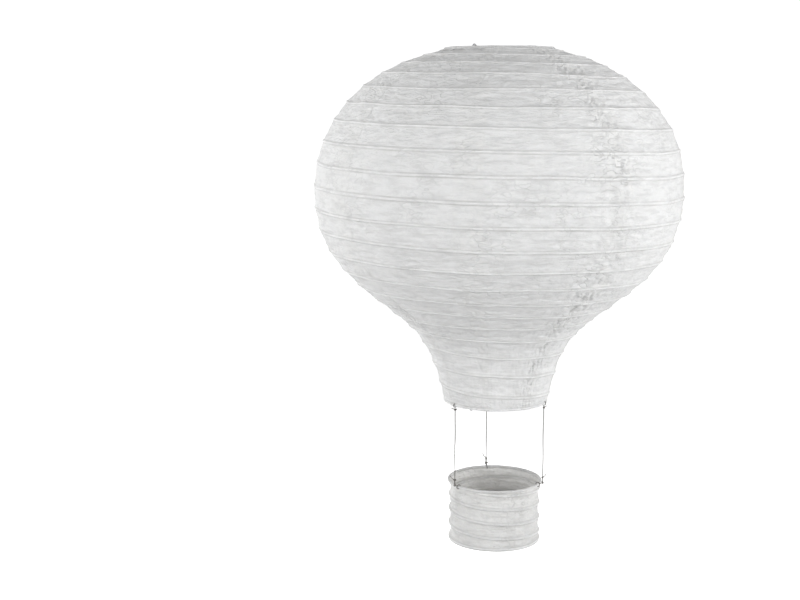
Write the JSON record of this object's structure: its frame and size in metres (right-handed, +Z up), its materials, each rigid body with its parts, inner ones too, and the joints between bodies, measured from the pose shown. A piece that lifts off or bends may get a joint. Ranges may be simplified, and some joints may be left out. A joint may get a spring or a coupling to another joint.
{
  "type": "hanging paper lantern",
  "caption": "White rice-paper lantern shaped like a hot-air balloon, with a spiral wire rib, an inner wire expander with a hanging eye, and a small folding paper basket swinging on threads.",
  "frame": {"origin": "the point inside the hanging eye where a hook bears, on the lantern's axis, 4 mm below the top ring", "axes": "+Z up along the lantern's axis; the front is -Y; the wire arms lie along the azimuth 240 degrees, counter-clockwise from +X"},
  "size_m": [0.3006, 0.3006, 0.41],
  "materials": {
    "rice_paper": "matte, fibrous and a little see-through",
    "rib_wire": "white coated spring wire",
    "frame_wire": "bright drawn wire",
    "thread": "twisted cotton thread",
    "knot_thread": "tightly tied cotton thread"
  },
  "bodies": {
    "lantern": {"top_ring": "rib_wire", "neck_ring": "rib_wire", "rib_spiral": "rib_wire", "gore_1": "rice_paper", "gore_2": "rice_paper", "gore_3": "rice_paper", "gore_4": "rice_paper", "gore_5": "rice_paper", "gore_6": "rice_paper", "gore_7": "rice_paper", "gore_8": "rice_paper", "hanging_bridge": "frame_wire", "foot_bridge": "frame_wire", "expander_leg_a": "frame_wire", "expander_leg_b": "frame_wire", "top_loop_1": "thread", "top_loop_2": "thread", "top_loop_3": "thread"},
    "top_knot_1": {"top_knot_1": "knot_thread"},
    "string_1": {"string_1": "thread"},
    "top_knot_2": {"top_knot_2": "knot_thread"},
    "string_2": {"string_2": "thread"},
    "top_knot_3": {"top_knot_3": "knot_thread"},
    "string_3": {"string_3": "thread"},
    "rim_knot_1": {"rim_knot_1": "knot_thread"},
    "basket": {"rim_knot_2": "knot_thread", "rim_knot_3": "knot_thread", "rim_loop_1": "thread", "rim_loop_2": "thread", "rim_loop_3": "thread", "basket_rim": "rice_paper", "basket_spiral": "rib_wire", "basket_wall": "rice_paper"},
    "basket_base": {"basket_base_ring": "rib_wire", "basket_floor": "rice_paper"}
  },
  "joints": [
    {"name": "swing_fore_aft", "type": "hinge", "parent": "lantern", "child": "top_knot_1", "pos_m": [0.03984, -0.0145, -0.2864], "axis": [1, 0, 0], "range_deg": [-35, 35]},
    {"name": "swing_side", "type": "hinge", "parent": "top_knot_1", "child": "string_1", "pos_m": [0.03984, -0.0145, -0.2864], "axis": [0, 1, 0], "range_deg": [-35, 35]},
    {"name": "swing_fore_aft_2", "type": "hinge", "parent": "lantern", "child": "top_knot_2", "pos_m": [-0.03248, -0.02725, -0.2864], "axis": [1, 0, 0], "range_deg": [-35, 35]},
    {"name": "swing_side_2", "type": "hinge", "parent": "top_knot_2", "child": "string_2", "pos_m": [-0.03248, -0.02725, -0.2864], "axis": [0, 1, 0], "range_deg": [-35, 35]},
    {"name": "swing_fore_aft_3", "type": "hinge", "parent": "lantern", "child": "top_knot_3", "pos_m": [-0.00736, 0.04176, -0.2864], "axis": [1, 0, 0], "range_deg": [-35, 35]},
    {"name": "swing_side_3", "type": "hinge", "parent": "top_knot_3", "child": "string_3", "pos_m": [-0.00736, 0.04176, -0.2864], "axis": [0, 1, 0], "range_deg": [-35, 35]},
    {"name": "level_side", "type": "hinge", "parent": "string_1", "child": "rim_knot_1", "pos_m": [0.03984, -0.0145, -0.3485], "axis": [0, 1, 0], "range_deg": [-35, 35]},
    {"name": "level_fore_aft", "type": "hinge", "parent": "rim_knot_1", "child": "basket", "pos_m": [0.03984, -0.0145, -0.3485], "axis": [1, 0, 0], "range_deg": [-35, 35]},
    {"name": "basket_fold", "type": "slide", "parent": "basket", "child": "basket_base", "axis": [0, 0, 1], "range_m": [0, 0.038], "deforming": ["basket_wall", "basket_spiral"]}
  ],
  "couplings": [
    {"joint": "swing_fore_aft_2", "follows": "swing_fore_aft", "ratio": 1},
    {"joint": "swing_side_2", "follows": "swing_side", "ratio": 1},
    {"joint": "swing_fore_aft_3", "follows": "swing_fore_aft", "ratio": 1},
    {"joint": "swing_side_3", "follows": "swing_side", "ratio": 1},
    {"joint": "level_side", "follows": "swing_side", "ratio": -1},
    {"joint": "level_fore_aft", "follows": "swing_fore_aft", "ratio": -1}
  ]
}
